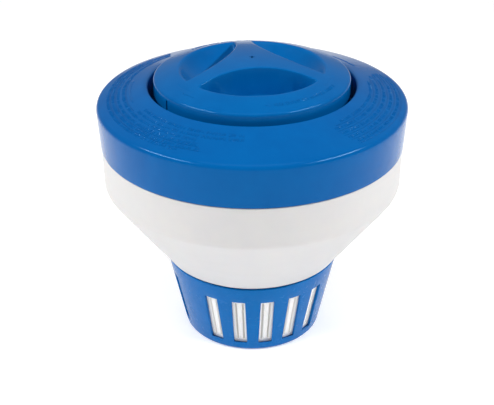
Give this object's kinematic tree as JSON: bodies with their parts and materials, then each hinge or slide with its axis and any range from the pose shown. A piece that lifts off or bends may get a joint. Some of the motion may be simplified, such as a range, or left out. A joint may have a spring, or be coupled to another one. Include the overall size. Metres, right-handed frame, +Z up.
{
  "type": "floating chlorine dispenser",
  "caption": "Round pool float with a screw lid over a deep tablet basket and a turning slotted cup that sets the flow.",
  "frame": {"origin": "centre of the round resting face, under the flow regulator", "axes": "+Z up along the float's axis, -Y to the front, +X to the right seen from the front"},
  "size_m": [0.1996, 0.1996, 0.1931],
  "materials": {
    "blue_lid": "smooth moulded polypropylene, satin with soft highlights",
    "blue_collar": "smooth moulded polypropylene, satin with soft highlights",
    "blue_cup": "smooth moulded polypropylene, satin with soft highlights",
    "white_float": "matt blow-moulded polyethylene, slightly waxy",
    "white_basket": "matt moulded polyethylene",
    "white_pin": "matt moulded acetal",
    "seal_rubber": "matt black seal rubber"
  },
  "bodies": {
    "float": {"top_collar": "blue_collar", "rim_gasket": "seal_rubber", "float_shell": "white_float", "neck_o_ring": "seal_rubber", "tablet_basket": "white_basket", "pivot_rivet": "white_pin"},
    "regulator": {"flow_regulator": "blue_cup"},
    "lid_seal": {"cap_gasket": "seal_rubber"},
    "lid": {"cap": "blue_lid"}
  },
  "joints": [
    {"name": "regulator_turn", "type": "hinge", "parent": "float", "child": "regulator", "pos_m": [0, 0, 0], "axis": [0, 0, 1], "range_deg": [0, 10]},
    {"name": "cap_lift", "type": "slide", "parent": "float", "child": "lid_seal", "axis": [0, 0, 1], "range_m": [0, 0.06]},
    {"name": "cap_turn", "type": "hinge", "parent": "lid_seal", "child": "lid", "pos_m": [0, 0, 0.18], "axis": [0, 0, 1], "range_deg": [0, 360]}
  ],
  "couplings": [
    {"joint": "cap_lift", "follows": "cap_turn", "m_per_rad": 0.0095493}
  ]
}
